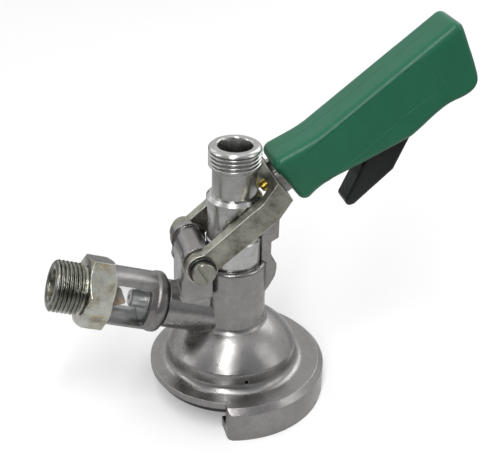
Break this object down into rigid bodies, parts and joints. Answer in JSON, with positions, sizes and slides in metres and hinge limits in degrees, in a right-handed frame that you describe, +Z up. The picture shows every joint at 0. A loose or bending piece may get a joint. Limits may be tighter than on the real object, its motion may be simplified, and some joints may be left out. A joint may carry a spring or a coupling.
{
  "type": "keg coupler",
  "caption": "Slide-on keg coupler with a cast body and open skirt, a lever with a green grip and squeeze trigger that lowers a threaded probe, and a gas arm with a sight tube.",
  "frame": {"origin": "on the barrel's axis, in the plane of the skirt's foot", "axes": "+Z up the barrel and probe, +X towards the lever's grip and the closed side of the skirt, -X towards the gas arm and the slot's open side"},
  "size_m": [0.1881, 0.0866, 0.1731],
  "materials": {
    "cast_steel": "investment-cast stainless steel, satin, fine grain",
    "lever_steel": "cast steel, dull nickel, rubbed edges",
    "turned_steel": "turned stainless steel, bright",
    "zinc_plate": "zinc-plated steel, streaked",
    "screw_nickel": "nickel-plated steel",
    "dark_washer": "dark spring steel",
    "spring_steel": "plain steel",
    "bolt_brass": "brass",
    "seal_rubber": "matte dark rubber",
    "valve_rubber": "brown rubber",
    "clear_tube": "clear tube",
    "grip_plastic": "green moulded plastic, semi-gloss",
    "trigger_plastic": "black moulded plastic, glossy"
  },
  "bodies": {
    "body": {"body_casting": "cast_steel", "keg_seal": "seal_rubber", "cage_seal": "seal_rubber", "sight_cage": "cast_steel", "flow_nozzle": "turned_steel", "sight_tube": "clear_tube", "tube_seal_inner": "seal_rubber", "tube_seal_outer": "seal_rubber", "inlet_nipple": "zinc_plate", "lip_valve": "valve_rubber", "valve_clip": "spring_steel", "pivot_screw_near": "screw_nickel", "pivot_screw_far": "screw_nickel", "pivot_washer_near": "dark_washer", "pivot_washer_far": "dark_washer"},
    "probe": {"probe_tube": "turned_steel", "piston_seal_lower": "seal_rubber", "piston_seal_upper": "seal_rubber", "probe_seal": "seal_rubber", "ball_clip": "spring_steel"},
    "ball": {"check_ball": "turned_steel"},
    "lever": {"fork_lever": "lever_steel", "handle_frame": "spring_steel", "grip": "grip_plastic", "trigger_pin": "spring_steel", "latch_spring": "spring_steel"},
    "latch": {"latch_bolt": "bolt_brass", "latch_rod": "spring_steel"},
    "trigger": {"trigger": "trigger_plastic"}
  },
  "joints": [
    {"name": "lever_swing", "type": "hinge", "parent": "body", "child": "lever", "pos_m": [-0.0182, 0, 0.075], "axis": [0, 1, 0], "range_deg": [0, 38]},
    {"name": "probe_slide", "type": "slide", "parent": "body", "child": "probe", "axis": [0, 0, -1], "range_m": [0, 0.01257]},
    {"name": "trigger_squeeze", "type": "hinge", "parent": "lever", "child": "trigger", "pos_m": [0.06916, 0, 0.12746], "axis": [0, 1, 0], "range_deg": [0, 16]},
    {"name": "latch_slide", "type": "slide", "parent": "lever", "child": "latch", "axis": [0.7815, 0, 0.6239], "range_m": [0, 0.00433], "stiffness_N_per_m": 400, "springref_m": -0.002, "deforming": ["latch_spring"]},
    {"name": "ball_lift", "type": "slide", "parent": "probe", "child": "ball", "axis": [0, 0, 1], "range_m": [0, 0.0035]}
  ],
  "couplings": [
    {"joint": "probe_slide", "follows": "lever_swing", "m_per_rad": 0.01896},
    {"joint": "trigger_squeeze", "follows": "latch_slide", "rad_per_m": 64.53}
  ]
}
